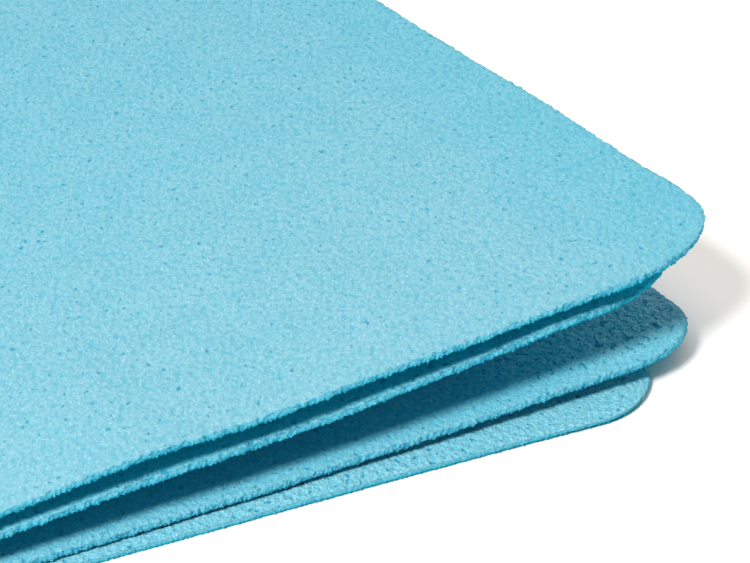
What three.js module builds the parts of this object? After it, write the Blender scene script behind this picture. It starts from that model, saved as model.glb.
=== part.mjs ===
// A glass cleaning cloth, folded twice into a packet of four leaves.
// The first fold lies along the back, the second along the left side, so all four corners of the cloth
// meet at the open corner, front right. The two upper leaves rise towards that corner.
// Millimetres, +Z up, resting on z = 0, with the origin under the middle of the packet.

import * as THREE from "three";

// The flat cloth
const CLOTH_LENGTH = 400; // across the side fold
const CLOTH_WIDTH = 350; // across the back fold
const THICKNESS = 0.75;

// Its round corners, cut a little unevenly: along the front edge, and along the right edge
const BOTTOM_ROUND_LENGTH = 12.1;
const BOTTOM_ROUND_DEPTH = 13.5;
const LOWER_INNER_ROUND_LENGTH = 11.2;
const LOWER_INNER_ROUND_DEPTH = 9.25;
const UPPER_INNER_ROUND_LENGTH = 17.8;
const UPPER_INNER_ROUND_DEPTH = 12.3;
const TOP_ROUND_LENGTH = 19.1;
const TOP_ROUND_DEPTH = 12.3;

// How tightly it is folded
const SIDE_LOOP_RADIUS = 0.45; // of the hollow inside the side fold
const FOLD_AIR = 0.55; // between the two layers where they turn together round a fold
const LOWER_LEAF_AIR = 0.35; // between the leaves of the lower pair
const PAIR_AIR = 0.73; // between the lower and the upper pair
const UPPER_LEAF_AIR = 2.13; // between the leaves of the upper pair, which is folded loosely
const SETTLE_DISTANCE = 15; // from a fold, over which a leaf comes to its own level
const SEAM_GAP = 0.3; // between a leaf and the crease that carries it on

// Where the leaves' open corners lie, measured from the bottom leaf's corner
const LOWER_INNER_RIGHT = 6.95;
const LOWER_INNER_BACK = 4.9;
const UPPER_INNER_RIGHT = 6.2;
const UPPER_INNER_BACK = 5.5;
const TOP_RIGHT = 11.2;
const TOP_BACK = 5.5;

// Where the creases end, measured from the bottom leaf's corner
const OUTER_SIDE_FOLD_BACK = 5.95;
const INNER_SIDE_FOLD_BACK = 3.7;
const LOWER_BACK_FOLD_RIGHT = 6.4;
const UPPER_BACK_FOLD_RIGHT = 9.9;

// How far the middle of a front edge lies behind the straight line between its ends
const BOTTOM_FRONT_BOW = 0.7;
const UPPER_INNER_FRONT_BOW = 0.2;
const TOP_FRONT_BOW = -0.97;

// How far the leaves rise at the open corner, above where they would lie flat
const LOWER_INNER_RISE = 2.0;
const UPPER_INNER_RISE = 8.95;
const TOP_RISE = 8.9;

// Where those rises begin, from the right edge, and how they bend and die away
const LOWER_INNER_REACH = 50.4;
const UPPER_INNER_REACH = 113;
const TOP_REACH = 126;
const RISE_BEND = 10; // how gently a rise begins
const RISE_DEPTH = 315; // from the front edge, over which a rise would die away

// Facets
const LENGTH_STEPS = 18;
const DEPTH_STEPS = 9;
const CORNER_STEPS = 6;
const BEND_STEPS = 8;
const CREASE_STEPS = 4;
const STEP_GRADING = 1.4; // above 1, steps are shorter at the start of a row
const SLOPE_STEP = 0.001; // share of a patch over which its slope is measured

// Layers and bends, to the middle of the cloth
const foldPitch = THICKNESS + FOLD_AIR;
const lowerLeafPitch = THICKNESS + LOWER_LEAF_AIR;
const upperLeafPitch = THICKNESS + UPPER_LEAF_AIR;
const innerBend = SIDE_LOOP_RADIUS + THICKNESS / 2;
const outerBend = innerBend + foldPitch;
const floorLevel = THICKNESS / 2;
const bendLevel = floorLevel + outerBend;
const upperPairLevel = floorLevel + lowerLeafPitch + THICKNESS + PAIR_AIR;

// Fold lines, from the lengths of cloth on both sides of them
const backArc = (Math.PI * foldPitch) / 2;
const outerArc = Math.PI * outerBend;
const sideFoldX = -(CLOTH_LENGTH - TOP_RIGHT - outerArc) / 2;
const backFoldLeftY = (CLOTH_WIDTH + OUTER_SIDE_FOLD_BACK + INNER_SIDE_FOLD_BACK - backArc) / 2;
const lowerBackFoldRightY = (CLOTH_WIDTH + LOWER_INNER_BACK - backArc) / 2;
const upperBackFoldRightY = (CLOTH_WIDTH + UPPER_INNER_BACK + TOP_BACK - backArc) / 2;

const lowerBackEnd = new THREE.Vector2(LOWER_BACK_FOLD_RIGHT, lowerBackFoldRightY);
const upperBackEnd = new THREE.Vector2(UPPER_BACK_FOLD_RIGHT, upperBackFoldRightY);
const outerSideEnd = new THREE.Vector2(sideFoldX, OUTER_SIDE_FOLD_BACK);
const innerSideEnd = new THREE.Vector2(sideFoldX, INNER_SIDE_FOLD_BACK);
const foldCrossing = new THREE.Vector2(sideFoldX, backFoldLeftY);

// The four leaves. Each is a quarter of the cloth between its open corner, the ends of its two creases
// and the point where the creases cross. foldLevel is its height at the creases, restLevel its height
// in the middle of the packet.
const bottomLeaf = {
  corner: new THREE.Vector2(0, 0),
  roundLength: BOTTOM_ROUND_LENGTH,
  roundDepth: BOTTOM_ROUND_DEPTH,
  sideEnd: outerSideEnd,
  backEnd: lowerBackEnd,
  frontBow: BOTTOM_FRONT_BOW,
  foldLevel: floorLevel,
  restLevel: floorLevel,
  rise: 0,
  reach: LOWER_INNER_REACH,
};
const lowerInnerLeaf = {
  corner: new THREE.Vector2(LOWER_INNER_RIGHT, LOWER_INNER_BACK),
  roundLength: LOWER_INNER_ROUND_LENGTH,
  roundDepth: LOWER_INNER_ROUND_DEPTH,
  sideEnd: innerSideEnd,
  backEnd: lowerBackEnd,
  frontBow: 0,
  foldLevel: floorLevel + foldPitch,
  restLevel: floorLevel + lowerLeafPitch,
  rise: LOWER_INNER_RISE,
  reach: LOWER_INNER_REACH,
};
const upperInnerLeaf = {
  corner: new THREE.Vector2(UPPER_INNER_RIGHT, UPPER_INNER_BACK),
  roundLength: UPPER_INNER_ROUND_LENGTH,
  roundDepth: UPPER_INNER_ROUND_DEPTH,
  sideEnd: innerSideEnd,
  backEnd: upperBackEnd,
  frontBow: UPPER_INNER_FRONT_BOW,
  foldLevel: bendLevel + innerBend,
  restLevel: upperPairLevel,
  rise: UPPER_INNER_RISE,
  reach: UPPER_INNER_REACH,
};
const topLeaf = {
  corner: new THREE.Vector2(TOP_RIGHT, TOP_BACK),
  roundLength: TOP_ROUND_LENGTH,
  roundDepth: TOP_ROUND_DEPTH,
  sideEnd: outerSideEnd,
  backEnd: upperBackEnd,
  frontBow: TOP_FRONT_BOW,
  foldLevel: bendLevel + outerBend,
  restLevel: upperPairLevel + upperLeafPitch,
  rise: TOP_RISE,
  reach: TOP_REACH,
};

// How far a leaf's round corner cuts its front edge back, at a distance from its right edge.
function roundInset(leaf, fromRight) {
  const inward = Math.max(1 - fromRight / leaf.roundLength, 0);
  return leaf.roundDepth * (1 - Math.sqrt(Math.max(1 - inward ** 2, 0)));
}

// A slope that begins gently at reach and is straight beyond it.
function slope(fromRight, reach) {
  return RISE_BEND * Math.log1p(Math.exp((reach - fromRight) / RISE_BEND));
}

// Height of the middle of a leaf, from its distances to the two creases and the two open edges.
function leafHeight(leaf, fromSide, fromBack, fromRight, fromFront) {
  const besideSide = 1 - Math.exp(-fromSide / SETTLE_DISTANCE);
  const besideBack = 1 - Math.exp(-fromBack / SETTLE_DISTANCE);
  const settled = THREE.MathUtils.lerp(leaf.foldLevel, leaf.restLevel, besideSide * besideBack);
  const risen = (leaf.rise * slope(fromRight, leaf.reach)) / slope(0, leaf.reach);
  return settled + risen * (1 - fromFront / RISE_DEPTH);
}

// A point on the middle of a leaf: across runs from the side crease to the right edge, along from the
// back crease to the front edge, both 0 to 1.
function leafPoint(leaf, across, along) {
  const length = leaf.corner.x - sideFoldX;
  const depth = leaf.backEnd.y - leaf.corner.y;
  const forward = along * (1 - roundInset(leaf, (1 - across) * length) / depth);
  const backLine = new THREE.Vector2().lerpVectors(foldCrossing, leaf.backEnd, across);
  const frontLine = new THREE.Vector2().lerpVectors(leaf.sideEnd, leaf.corner, across);
  frontLine.y += leaf.frontBow * 4 * across * (1 - across);
  const place = backLine.lerp(frontLine, forward);
  const height = leafHeight(
    leaf,
    across * length,
    forward * depth,
    (1 - across) * length,
    (1 - forward) * depth,
  );
  return new THREE.Vector3(place.x, place.y, height);
}

// Steps from start to end, shorter near the start where grading is above 1.
function stepsBetween(start, end, count, grading = 1) {
  const share = (i) => (i / count) ** grading;
  return Array.from({ length: count + 1 }, (unused, i) => THREE.MathUtils.lerp(start, end, share(i)));
}

// Steps across a leaf, from its side crease to its right edge, with the round corner's own steps last.
function leafSteps(leaf) {
  const length = leaf.corner.x - sideFoldX;
  const depth = leaf.backEnd.y - leaf.corner.y;
  const roundStart = 1 - leaf.roundLength / length;
  const straight = stepsBetween(roundStart, SEAM_GAP / length, LENGTH_STEPS, STEP_GRADING).reverse();
  const turns = stepsBetween(0, Math.PI / 2, CORNER_STEPS).slice(1);
  const round = turns.map((turn) => 1 - (leaf.roundLength * (1 - Math.sin(turn))) / length);
  const along = stepsBetween(SEAM_GAP / depth, 1, DEPTH_STEPS, STEP_GRADING);
  return { across: [...straight, ...round], along };
}

// Both faces and the rim of a patch of cloth, from the points on its middle. Its outer face is on the
// side where across, along and outwards form a right hand.
function clothPatch(pointAt, acrossSteps, alongSteps) {
  const columns = acrossSteps.length;
  const rows = alongSteps.length;
  const faceNormal = (across, along) => {
    const before = Math.max(across - SLOPE_STEP, acrossSteps[0]);
    const after = Math.min(across + SLOPE_STEP, acrossSteps[columns - 1]);
    const below = Math.max(along - SLOPE_STEP, alongSteps[0]);
    const above = Math.min(along + SLOPE_STEP, alongSteps[rows - 1]);
    const acrossSlope = pointAt(after, along).sub(pointAt(before, along));
    const alongSlope = pointAt(across, above).sub(pointAt(across, below));
    return acrossSlope.cross(alongSlope).normalize();
  };
  const positions = [];
  for (const offset of [THICKNESS / 2, -THICKNESS / 2]) {
    for (const along of alongSteps) {
      for (const across of acrossSteps) {
        const point = pointAt(across, along).addScaledVector(faceNormal(across, along), offset);
        positions.push(...point.toArray());
      }
    }
  }

  const outer = (i, j) => j * columns + i;
  const inner = (i, j) => rows * columns + j * columns + i;
  const triangles = [];
  const quad = (a, b, c, d) => triangles.push(a, b, c, a, c, d);
  const lastColumn = columns - 1;
  const lastRow = rows - 1;
  for (let j = 0; j < lastRow; j += 1) {
    for (let i = 0; i < lastColumn; i += 1) {
      quad(outer(i, j), outer(i + 1, j), outer(i + 1, j + 1), outer(i, j + 1));
      quad(inner(i, j), inner(i, j + 1), inner(i + 1, j + 1), inner(i + 1, j));
    }
  }
  for (let i = 0; i < lastColumn; i += 1) {
    quad(outer(i, 0), inner(i, 0), inner(i + 1, 0), outer(i + 1, 0));
    quad(outer(i + 1, lastRow), inner(i + 1, lastRow), inner(i, lastRow), outer(i, lastRow));
  }
  for (let j = 0; j < lastRow; j += 1) {
    quad(outer(0, j + 1), inner(0, j + 1), inner(0, j), outer(0, j));
    quad(outer(lastColumn, j), inner(lastColumn, j), inner(lastColumn, j + 1), outer(lastColumn, j + 1));
  }

  const geometry = new THREE.BufferGeometry();
  geometry.setAttribute("position", new THREE.Float32BufferAttribute(positions, 3));
  geometry.setIndex(triangles);
  geometry.computeVertexNormals();
  return geometry;
}

// The bottom leaf lies flat, so it is its outline with the cloth's thickness.
function flatLeaf(leaf) {
  const steps = leafSteps(leaf);
  const beside = steps.across[0];
  const back = steps.along[0];
  const outline = [
    leafPoint(leaf, 1, back),
    leafPoint(leaf, beside, back),
    ...steps.across.map((share) => leafPoint(leaf, share, 1)),
  ];
  const shape = new THREE.Shape(outline.map((point) => new THREE.Vector2(point.x, point.y)));
  return new THREE.ExtrudeGeometry(shape, { depth: THICKNESS, bevelEnabled: false });
}

// A leaf that bends. Its steps run backwards along its depth, so that its outer face looks up.
function bentLeaf(leaf) {
  const steps = leafSteps(leaf);
  const backwards = steps.along.map((share) => 1 - share).reverse();
  return clothPatch((across, back) => leafPoint(leaf, across, 1 - back), steps.across, backwards);
}

// A point on the side crease of one layer, a share of the way round its bend.
function sideBendPoint(bend, turn, y) {
  const angle = Math.PI * turn;
  return new THREE.Vector3(sideFoldX - bend * Math.sin(angle), y, bendLevel - bend * Math.cos(angle));
}

// The side crease of one layer, from its front end to just short of the crossing.
function sideFold(bend, frontY) {
  const backY = backFoldLeftY - SEAM_GAP;
  const pointAt = (turn, along) => sideBendPoint(bend, turn, THREE.MathUtils.lerp(frontY, backY, along));
  return clothPatch(pointAt, stepsBetween(0, 1, BEND_STEPS), stepsBetween(0, 1, CREASE_STEPS));
}

// The back crease between two leaves, from just past the side crease to its right end.
function backFold(lowerLeaf, upperLeaf) {
  const start = SEAM_GAP / (lowerLeaf.backEnd.x - sideFoldX);
  const pointAt = (turn, along) => {
    const low = leafPoint(lowerLeaf, along, 0);
    const high = leafPoint(upperLeaf, along, 0);
    const angle = Math.PI * turn;
    const bend = (high.z - low.z) / 2;
    const middle = (high.z + low.z) / 2;
    return new THREE.Vector3(low.x, low.y + bend * Math.sin(angle), middle - bend * Math.cos(angle));
  };
  return clothPatch(pointAt, stepsBetween(0, 1, BEND_STEPS), stepsBetween(start, 1, LENGTH_STEPS));
}

// The doubled bend where the creases cross: the back crease carried round the side crease.
function crossingFold() {
  const backBend = foldPitch / 2;
  const pointAt = (sideTurn, backTurn) => {
    const inward = backBend * (1 - Math.cos(Math.PI * backTurn));
    const y = backFoldLeftY + backBend * Math.sin(Math.PI * backTurn);
    return sideBendPoint(outerBend - inward, sideTurn, y);
  };
  return clothPatch(pointAt, stepsBetween(0, 1, BEND_STEPS), stepsBetween(0, 1, BEND_STEPS));
}

// The packet
const clothColour = new THREE.Color().setRGB(0.26, 0.63, 0.76);
const packet = new THREE.Group();

function addPiece(name, geometry) {
  const material = new THREE.MeshStandardMaterial({ color: clothColour, roughness: 0.9, metalness: 0 });
  const mesh = new THREE.Mesh(geometry, material);
  mesh.name = name;
  packet.add(mesh);
}

addPiece("bottom_leaf", flatLeaf(bottomLeaf));
addPiece("lower_inner_leaf", bentLeaf(lowerInnerLeaf));
addPiece("upper_inner_leaf", bentLeaf(upperInnerLeaf));
addPiece("top_leaf", bentLeaf(topLeaf));
addPiece("lower_back_fold", backFold(bottomLeaf, lowerInnerLeaf));
addPiece("upper_back_fold", backFold(upperInnerLeaf, topLeaf));
addPiece("outer_side_fold", sideFold(outerBend, OUTER_SIDE_FOLD_BACK));
addPiece("inner_side_fold", sideFold(innerBend, INNER_SIDE_FOLD_BACK));
addPiece("centre_fold", crossingFold());

// The origin goes under the middle of the packet.
const middle = new THREE.Box3().setFromObject(packet).getCenter(new THREE.Vector3());
packet.position.set(-middle.x, -middle.y, 0);

const cloth = new THREE.Group();
cloth.name = "glass_cleaning_cloth";
cloth.add(packet);

export default cloth;
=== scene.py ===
"""A light-blue porous cleaning cloth, folded into a packet of four leaves, on a white table.

Metres, +Z up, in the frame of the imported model: +X runs along the front edges to the open corner, and
+Y from the front edges to the back folds. Distances on the cloth are measured from its creases.
"""

import math
from dataclasses import dataclass

import bpy
import numpy as np
from mathutils import Matrix, Vector
from mathutils.geometry import delaunay_2d_cdt


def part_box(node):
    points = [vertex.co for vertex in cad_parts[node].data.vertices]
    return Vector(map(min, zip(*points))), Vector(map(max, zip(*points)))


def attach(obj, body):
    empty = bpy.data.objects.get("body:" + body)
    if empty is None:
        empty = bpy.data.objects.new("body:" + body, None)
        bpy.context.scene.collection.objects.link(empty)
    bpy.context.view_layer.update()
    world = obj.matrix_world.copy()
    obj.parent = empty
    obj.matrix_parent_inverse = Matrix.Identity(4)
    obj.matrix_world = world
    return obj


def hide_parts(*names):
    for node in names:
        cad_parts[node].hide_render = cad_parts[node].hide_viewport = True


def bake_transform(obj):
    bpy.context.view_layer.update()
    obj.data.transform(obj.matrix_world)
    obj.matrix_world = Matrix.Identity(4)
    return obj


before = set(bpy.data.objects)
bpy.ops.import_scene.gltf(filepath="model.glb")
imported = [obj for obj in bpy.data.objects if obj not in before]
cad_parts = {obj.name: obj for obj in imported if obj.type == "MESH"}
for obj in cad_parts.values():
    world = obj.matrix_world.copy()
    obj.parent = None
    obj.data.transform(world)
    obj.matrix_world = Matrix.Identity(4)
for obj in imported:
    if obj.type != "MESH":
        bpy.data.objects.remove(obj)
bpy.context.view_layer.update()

MM = 0.001

# The flat cloth
CLOTH_LENGTH = 400 * MM
CLOTH_WIDTH = 350 * MM
THICKNESS = 0.75 * MM

# Its round corners: along the front edge, and along the right edge
BOTTOM_ROUND = np.array((12.1, 13.5)) * MM
LOWER_INNER_ROUND = np.array((11.2, 9.25)) * MM
UPPER_INNER_ROUND = np.array((17.8, 12.3)) * MM
TOP_ROUND = np.array((19.1, 12.3)) * MM

# How tightly it is folded
SIDE_LOOP_RADIUS = 0.45 * MM
FOLD_AIR = 0.55 * MM
LOWER_LEAF_AIR = 0.35 * MM
PAIR_AIR = 0.73 * MM
UPPER_LEAF_AIR = 2.13 * MM
SETTLE_DISTANCE = 15 * MM

# Where the open corners and the ends of the creases lie, from the bottom leaf's corner
BOTTOM_CORNER = np.array((0.0, 0.0))
LOWER_INNER_CORNER = np.array((6.95, 4.9)) * MM
UPPER_INNER_CORNER = np.array((6.2, 5.5)) * MM
TOP_CORNER = np.array((11.2, 5.5)) * MM
OUTER_SIDE_FOLD_BACK = 5.95 * MM
INNER_SIDE_FOLD_BACK = 3.7 * MM
LOWER_BACK_FOLD_RIGHT = 6.4 * MM
UPPER_BACK_FOLD_RIGHT = 9.9 * MM

# How far the middle of a front edge lies behind the straight line between its ends
BOTTOM_FRONT_BOW = 0.7 * MM
UPPER_INNER_FRONT_BOW = 0.2 * MM
TOP_FRONT_BOW = -0.97 * MM

# How far the leaves rise at the open corner, and from where
LOWER_INNER_RISE = 2.0 * MM
UPPER_INNER_RISE = 8.95 * MM
TOP_RISE = 8.9 * MM
LOWER_INNER_REACH = 50.4 * MM
UPPER_INNER_REACH = 113 * MM
TOP_REACH = 126 * MM
RISE_BEND = 10 * MM
RISE_DEPTH = 315 * MM

# Layers, bends and fold lines, to the middle of the cloth
FOLD_PITCH = THICKNESS + FOLD_AIR
LOWER_LEAF_PITCH = THICKNESS + LOWER_LEAF_AIR
UPPER_LEAF_PITCH = THICKNESS + UPPER_LEAF_AIR
INNER_BEND = SIDE_LOOP_RADIUS + THICKNESS / 2
OUTER_BEND = INNER_BEND + FOLD_PITCH
FLOOR_LEVEL = THICKNESS / 2
BEND_LEVEL = FLOOR_LEVEL + OUTER_BEND
UPPER_PAIR_LEVEL = FLOOR_LEVEL + LOWER_LEAF_PITCH + THICKNESS + PAIR_AIR
BACK_ARC = math.pi * FOLD_PITCH / 2
INNER_ARC = math.pi * INNER_BEND
OUTER_ARC = math.pi * OUTER_BEND
SIDE_FOLD_X = -(CLOTH_LENGTH - TOP_CORNER[0] - OUTER_ARC) / 2
BACK_FOLD_LEFT_Y = (CLOTH_WIDTH + OUTER_SIDE_FOLD_BACK + INNER_SIDE_FOLD_BACK - BACK_ARC) / 2
LOWER_BACK_FOLD_RIGHT_Y = (CLOTH_WIDTH + LOWER_INNER_CORNER[1] - BACK_ARC) / 2
UPPER_BACK_FOLD_RIGHT_Y = (CLOTH_WIDTH + UPPER_INNER_CORNER[1] + TOP_CORNER[1] - BACK_ARC) / 2
LOWER_BACK_END = np.array((LOWER_BACK_FOLD_RIGHT, LOWER_BACK_FOLD_RIGHT_Y))
UPPER_BACK_END = np.array((UPPER_BACK_FOLD_RIGHT, UPPER_BACK_FOLD_RIGHT_Y))
FOLD_CROSSING = np.array((SIDE_FOLD_X, BACK_FOLD_LEFT_Y))

# Place of the bottom leaf's corner in the frame
OPEN_CORNER = Vector(
    (
        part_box("outer_side_fold")[0].x + OUTER_BEND + THICKNESS / 2 - SIDE_FOLD_X,
        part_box("centre_fold")[0].y - BACK_FOLD_LEFT_Y,
        0,
    )
)

# Ripples along the front edges: distance from the right edge, half width, height
UPPER_INNER_RIPPLES = np.array(((19.5, 6, 0.36), (50.5, 14, -0.47), (83, 16, 0.36))) * MM
TOP_RIPPLES = np.array(((24, 10, 0.16), (60, 8, -0.2), (77, 7, 0.35), (97, 7, -0.4))) * MM

# Waves of the edges, seen from above: distance from the open corner, half width, how far out
BOTTOM_FRONT_WAVES = np.array(((11, 9, 0.35),)) * MM
TOP_RIGHT_WAVES = np.array(((16, 4.5, 0.4), (43.5, 15, 0.48))) * MM
SWELL_DEPTH = 25 * MM  # from the edge, over which ripples and waves die away

# Unevenness of the cloth
WAVE_CELL = 17 * MM
WAVE_HEIGHT = 0.07 * MM
LUMP_CELL = 2.4 * MM
LUMP_HEIGHT = 0.03 * MM
CALM_DISTANCE = 6 * MM  # from a crease, within which the cloth lies smooth
CREASE_LUMP_CELL = 4 * MM
CREASE_LUMP_HEIGHT = 0.09 * MM
NOISE_CELLS = 512

# The cut edge: it wanders and frays, and breaks into rounded beads that hang below the lower face
WANDER_CELL = 6 * MM
WANDER = 0.06 * MM
FRONT_FRAY_CELL = 0.55 * MM
FRONT_FRAY = 0.05 * MM
CORNER_FRAY = 0.03 * MM
RIGHT_FRAY_CELL = 0.75 * MM
RIGHT_FRAY = 0.14 * MM
FRAY_STARTS = 0.5  # of a corner's round, from where the fray of an edge grows
FRAY_FULL = 1.5
BEAD_LENGTH = 0.55 * MM
BEAD_SIZE = 0.55  # of the largest bead
BEAD_SIZE_SPREAD = 0.45
BEAD_SHIFT = 0.5  # of a bead's length
BEAD_SHIFT_CELL = 1.3 * MM
BEAD_STAND = 0.04 * MM
BEAD_DROP = 0.3 * MM
BULGE_CELL = 0.42 * MM
BULGE = 0.1 * MM
CORNER_UNDERCUT = 0.8 * MM  # of the lower face along the right edge
CORNER_UNDERCUT_REACH = 8 * MM  # from the right edge
FLOOR_UNDERCUT = 0.1 * MM  # of the bottom leaf along its front edge
FLOOR_UNDERCUT_REACH = 30 * MM
EDGE_EASE = 3 * MM  # from a crease, over which its unevenness begins
EDGE_SINK = 0.11 * MM
EDGE_SINK_WIDTH = 0.9 * MM

# Rows round a cut edge: share of the way from the upper face to the lower, how far the row stands out,
# how much of it is bare cut cloth, and how much painted shade it takes in the groove under the face and low
# down
RIM_SHARE = np.array((0, 0.06, 0.15, 0.27, 0.42, 0.58, 0.75, 0.9, 1))
RIM_STAND = np.array((-0.14, -0.05, -0.05, 0.01, 0.05, 0.06, 0.04, -0.02, -0.1)) * MM
RIM_BARE = np.array((0, 0.2, 0.4, 0.7, 1, 1, 1, 1, 0.8))
RIM_CREVICE_SHADE = np.array((0, 0.15, 0.4, 0.15, 0, 0.1, 0.4, 0.8, 1))
RIM_LOW = RIM_SHARE**2  # how far a row follows the lower face
RIM_HIGH = (1 - RIM_SHARE) ** 4  # how far it follows the upper face

# Loose nubs of fibre along the cut edges
NUB_SPACING = 0.6 * MM
NUB_RADIUS = 0.14 * MM
NUB_SCATTER = 0.09 * MM
NUB_LEAST = (0.5, 0.5, 0.5)  # of the radius, each way
NUB_MOST = (1.3, 1.1, 1.1)
NUB_ROW = 5  # of the rim

# Painted shade between the leaves: distances from the cut edge over which a covered face deepens in colour
BOTTOM_SHADE_INSET = np.array((4.5, 7)) * MM
LOWER_INNER_SHADE_INSET = np.array((-2.5, 5)) * MM
UPPER_INNER_SHADE_INSET = np.array((-1.0, 1.4)) * MM
UNDERSIDE_SHADE_INSET = np.array((0.2, 2)) * MM
RIGHT_SHADE_REACH = np.array((5, 22)) * MM  # from the right edge, where light comes in between the leaves
TOP_RIGHT_SHADE = 0.8  # of the painted shade colour, along the right edge
LOWER_INNER_RIGHT_SHADE = 0.65
RIGHT_SHADE_EDGE_REACH = np.array((0, 28)) * MM
BACK_SHADE = 0.4  # of the painted shade colour, towards the top leaf's back
BACK_SHADE_REACH = np.array((10, 80)) * MM
CREASE_SHADE_SHARES = (0.5, 1)  # shares of the way round a crease, towards its covered side, over which its painted shade deepens

# Where it is pitted
INSIDE_PITS = 0.5  # of those at the lower inner leaf's corner
OUTSIDE_PITS = 0.3
CORNER_PIT_REACH = np.array((14, 40)) * MM  # from the right edge
CORNER_PIT_INSET = np.array((1, 4)) * MM  # from the cut edge

# Seeds, added to a leaf's own
UPPER_FACE_SEED = 1
LOWER_FACE_SEED = 2
RIM_SEED = 5
FRONT_FRAY_SEED = 7
RIGHT_FRAY_SEED = 8

# Seeds, added to a rim's own
BEAD_SHIFT_SEED = 1
BEAD_SIZE_SEED = 2
BULGE_SEED = 3
FINE_BULGE_SEED = 4

# Facets
EDGE_STEP = 0.12 * MM
SEAM_STEP = 1.0 * MM
UPPER_FACE_STEP = 1.0 * MM
LOWER_FACE_STEP = 1.7 * MM
EDGE_ROWS = ((0.28 * MM, 1), (0.55 * MM, 2), (1.05 * MM, 4))  # distance from the edge, columns a point
ROW_CLEARANCE = 0.6  # of the space between a row's points, from a crease
GRID_CLEARANCE = 0.55  # of a face's step, from the points round it
GRID_PITCH = math.sqrt(0.75)  # of a face's step, from one line of the grid to the next
GRID_JITTER = 0.12  # of a face's step
BEND_STEPS = 32
BEND_GRADING = 1.4
SLOPE_STEP = 0.05 * MM  # over which a leaf's slope is measured
CREASE_STEP = 1e-4  # of the way round or along a crease, for the same
MERGE_DISTANCE = 1e-9
KEEP_INSIDE = 1  # of the triangulation's choices, the triangles inside its loop

# Colours of the cloth
CLOTH_DARK = (0.180, 0.545, 0.675, 1)
CLOTH_MID = (0.224, 0.580, 0.708, 1)
CLOTH_LIGHT = (0.278, 0.620, 0.740, 1)
# Pale flecks: partly the pale fibre of the cloth, partly painted glints
CLOTH_FLECK_AND_GLINT = (0.430, 0.740, 0.840, 1)
CLOTH_HOLLOW = (0.070, 0.480, 0.640, 1)
CLOTH_PIT = (0.015, 0.360, 0.545, 1)
CLOTH_BARE = (0.125, 0.570, 0.720, 1)
CLOTH_CREVICE_SHADE = (0.010, 0.360, 0.550, 1)
PITTED_LIGHT_LIFT = (1.18, 1.32, 1.25, 1)  # of the even colour, where the cloth is most pitted: a painted lift of light on the inside faces and the shaded corner
PAINTED_SHADE_SHARE = (0.62, 0.96, 1.0, 1)  # of the open colour, deep inside the packet: the painted shade between the leaves

# Its texture: features a millimetre and their detail
GRAIN = (1.9, 2.5)
FLECKS = (3.4, 0.0)
PATCHES = (0.14, 2.0)
DIMPLES = (1.25, 1.5)
PITS = (1.15, 1.5)
TEXTURE_ROUGHNESS = 0.5
NAP_TURN = 60  # degrees from the front edge, along which the grain is drawn out
NAP_STRETCH = 1.45

# Levels of the noise between which features begin, and what favours them
FLECK_LEVELS = (0.66, 0.84)  # from none to all
HOLLOW_LEVELS = (0.3, 0.46)  # from all to none
PIT_LEVELS = (0.1, 0.23)  # from all to none
PITTED_FLECKS = 0.12
PATCH_PITS = -0.16
PITTED_PITS = -0.11

# How strongly each feature colours the cloth
TONE_GRAIN = 0.75
TONE_PATCHES = 0.25
TONE_DARK = 0.34
TONE_MID = 0.5
TONE_LIGHT = 0.66
FLECK_AND_GLINT_STRENGTH = 0.7
HOLLOW_STRENGTH = 0.38
PIT_STRENGTHS = (0.85, 0.95)  # on even and on pitted cloth
BARE_STRENGTH = 0.7
CREVICE_SHADE_STRENGTH = 0.7

# Relief and gloss
RELIEF = 0.21 * MM
DIMPLE_RELIEF = 0.7  # shares of the relief
GRAIN_RELIEF = 0.6
PIT_RELIEF = -0.25
STEEPNESS = (1.0, 2.6)  # of the relief on even and on pitted cloth
TONE_DULLNESS = -1.0
HOLLOW_DULLNESS = 0.25
PIT_DULLNESS = 0.5
BARE_DULLNESS = 0.5
DULLNESS_LEVELS = (-0.7, 0.0)
ROUGHNESS = (0.5, 0.95)  # at those levels
GLOSS = 0.5

# The table
TABLE_SIZE = 8
TABLE_WHITE = (0.97, 0.95, 0.92, 1)
TABLE_BOUNCE = (0.02, 0.9, 1.0, 1)  # its colour in the light that it throws into the gaps
TABLE_GLOW = 0.47
TABLE_GLOW_COLOUR = (1, 0.895, 0.825, 1)
FAR_GLOW = 1.2
FAR_REACH = (0.3, 1.2)  # from the middle, over which the key light falls off
CONTACT_REACH = 9 * MM  # of the painted contact shadow under the cloth, where the table glows less
CONTACT_POWER = 2.0

# Light: degrees, metres and watts
KEY_TURN = -67
KEY_RISE = 45
KEY_DISTANCE = 1.5
KEY_SIZE = 0.42
KEY_POWER = 23.0
SKY_LOW = 0.03
SKY_HIGH = 0.5
SKY_RISES = (0.8, 0.98)  # sines of the rise between which the sky brightens
BACKDROP_TURN = 150
BACKDROP_FILL = 0.7
BACKDROP_SHARES = (0.1, 0.5)  # how far towards the backdrop a direction points, where it fades in
WHITE = (1, 1, 1, 1)

# Photograph's view: degrees, metres, and pixels at that distance
IMAGE_WIDTH = 750
IMAGE_HEIGHT = 563
SENSOR_WIDTH = 36
VIEW_TURN = -30.0
VIEW_RISE = 28.13
VIEW_DISTANCE = 380 * MM
VIEW_START = 10 * MM
PIXELS_PER_METRE = 9029
OPEN_CORNER_PIXEL = (694.4, 399.7)


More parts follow.
